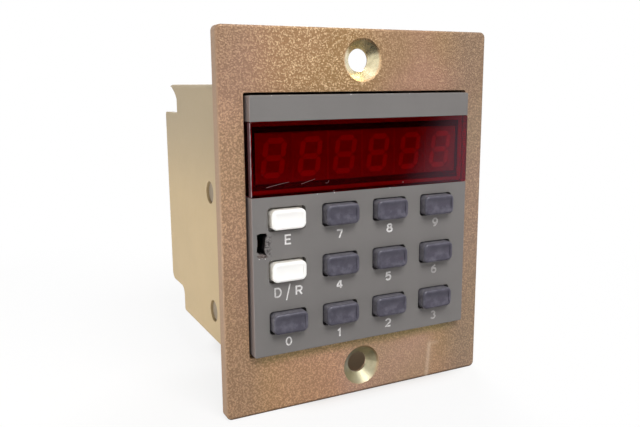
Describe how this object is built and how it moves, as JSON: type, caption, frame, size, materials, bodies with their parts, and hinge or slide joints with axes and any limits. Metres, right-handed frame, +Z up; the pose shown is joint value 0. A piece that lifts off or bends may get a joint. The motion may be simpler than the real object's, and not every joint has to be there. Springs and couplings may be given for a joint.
{
  "type": "panel counter",
  "caption": "Panel-mounted electronic preset counter: textured metal front plate, red display window, keypad with travelling keys, beige housing and rear screw terminals.",
  "frame": {"origin": "midway between the two panel screw holes, on the mounting plate's rear face", "axes": "+X right seen from the front, +Y rearwards into the panel, +Z up; the display and keys face -Y"},
  "size_m": [0.06, 0.0515, 0.075],
  "materials": {
    "plate_metal": "bronze textured cast metal with bare golden countersinks",
    "housing_plastic": "smooth beige moulding",
    "panel_plastic": "fine matt grey with worn white print",
    "window_acrylic": "clear dark red acrylic with fine scratches",
    "digit_plastic": "dull red moulded display digits",
    "black_plastic": "matt black",
    "terminal_plastic": "matt black moulding",
    "board_laminate": "green solder resist",
    "contact_brass": "plain brass",
    "screw_steel": "zinc-plated steel",
    "key_dark": "satin slate blue-grey moulding",
    "key_white": "satin white moulding"
  },
  "bodies": {
    "counter": {"mounting_plate": "plate_metal", "housing": "housing_plastic", "rear_cover": "housing_plastic", "rear_cover_screws": "screw_steel", "front_panel": "panel_plastic", "display_window": "window_acrylic", "display_mask": "black_plastic", "led_digit_1": "digit_plastic", "led_digit_2": "digit_plastic", "led_digit_3": "digit_plastic", "led_digit_4": "digit_plastic", "led_digit_5": "digit_plastic", "led_digit_6": "digit_plastic", "front_board": "board_laminate", "board_screws": "screw_steel", "key_switch_enter": "black_plastic", "key_switch_7": "black_plastic", "key_switch_8": "black_plastic", "key_switch_9": "black_plastic", "key_switch_display_reset": "black_plastic", "key_switch_4": "black_plastic", "key_switch_5": "black_plastic", "key_switch_6": "black_plastic", "key_switch_0": "black_plastic", "key_switch_1": "black_plastic", "key_switch_2": "black_plastic", "key_switch_3": "black_plastic", "snap_domes": "contact_brass", "board_spacers": "contact_brass", "logic_board": "board_laminate", "spacer_screws": "screw_steel", "microcontroller": "black_plastic", "output_relay": "black_plastic", "smoothing_capacitor": "black_plastic", "crystal": "screw_steel", "board_link": "black_plastic", "terminal_block_upper": "terminal_plastic", "terminal_block_lower": "terminal_plastic", "terminal_screws": "screw_steel"},
    "key_enter_button": {"key_enter": "key_white"},
    "key_7_button": {"key_7": "key_dark"},
    "key_8_button": {"key_8": "key_dark"},
    "key_9_button": {"key_9": "key_dark"},
    "key_display_reset_button": {"key_display_reset": "key_white"},
    "key_4_button": {"key_4": "key_dark"},
    "key_5_button": {"key_5": "key_dark"},
    "key_6_button": {"key_6": "key_dark"},
    "key_0_button": {"key_0": "key_dark"},
    "key_1_button": {"key_1": "key_dark"},
    "key_2_button": {"key_2": "key_dark"},
    "key_3_button": {"key_3": "key_dark"}
  },
  "joints": [
    {"name": "key_enter_press", "type": "slide", "parent": "counter", "child": "key_enter_button", "axis": [0, 1, 0], "range_m": [0, 0.0008], "stiffness_N_per_m": 500, "springref_m": -0.0004},
    {"name": "key_7_press", "type": "slide", "parent": "counter", "child": "key_7_button", "axis": [0, 1, 0], "range_m": [0, 0.0008], "stiffness_N_per_m": 500, "springref_m": -0.0004},
    {"name": "key_8_press", "type": "slide", "parent": "counter", "child": "key_8_button", "axis": [0, 1, 0], "range_m": [0, 0.0008], "stiffness_N_per_m": 500, "springref_m": -0.0004},
    {"name": "key_9_press", "type": "slide", "parent": "counter", "child": "key_9_button", "axis": [0, 1, 0], "range_m": [0, 0.0008], "stiffness_N_per_m": 500, "springref_m": -0.0004},
    {"name": "key_display_reset_press", "type": "slide", "parent": "counter", "child": "key_display_reset_button", "axis": [0, 1, 0], "range_m": [0, 0.0008], "stiffness_N_per_m": 500, "springref_m": -0.0004},
    {"name": "key_4_press", "type": "slide", "parent": "counter", "child": "key_4_button", "axis": [0, 1, 0], "range_m": [0, 0.0008], "stiffness_N_per_m": 500, "springref_m": -0.0004},
    {"name": "key_5_press", "type": "slide", "parent": "counter", "child": "key_5_button", "axis": [0, 1, 0], "range_m": [0, 0.0008], "stiffness_N_per_m": 500, "springref_m": -0.0004},
    {"name": "key_6_press", "type": "slide", "parent": "counter", "child": "key_6_button", "axis": [0, 1, 0], "range_m": [0, 0.0008], "stiffness_N_per_m": 500, "springref_m": -0.0004},
    {"name": "key_0_press", "type": "slide", "parent": "counter", "child": "key_0_button", "axis": [0, 1, 0], "range_m": [0, 0.0008], "stiffness_N_per_m": 500, "springref_m": -0.0004},
    {"name": "key_1_press", "type": "slide", "parent": "counter", "child": "key_1_button", "axis": [0, 1, 0], "range_m": [0, 0.0008], "stiffness_N_per_m": 500, "springref_m": -0.0004},
    {"name": "key_2_press", "type": "slide", "parent": "counter", "child": "key_2_button", "axis": [0, 1, 0], "range_m": [0, 0.0008], "stiffness_N_per_m": 500, "springref_m": -0.0004},
    {"name": "key_3_press", "type": "slide", "parent": "counter", "child": "key_3_button", "axis": [0, 1, 0], "range_m": [0, 0.0008], "stiffness_N_per_m": 500, "springref_m": -0.0004}
  ]
}
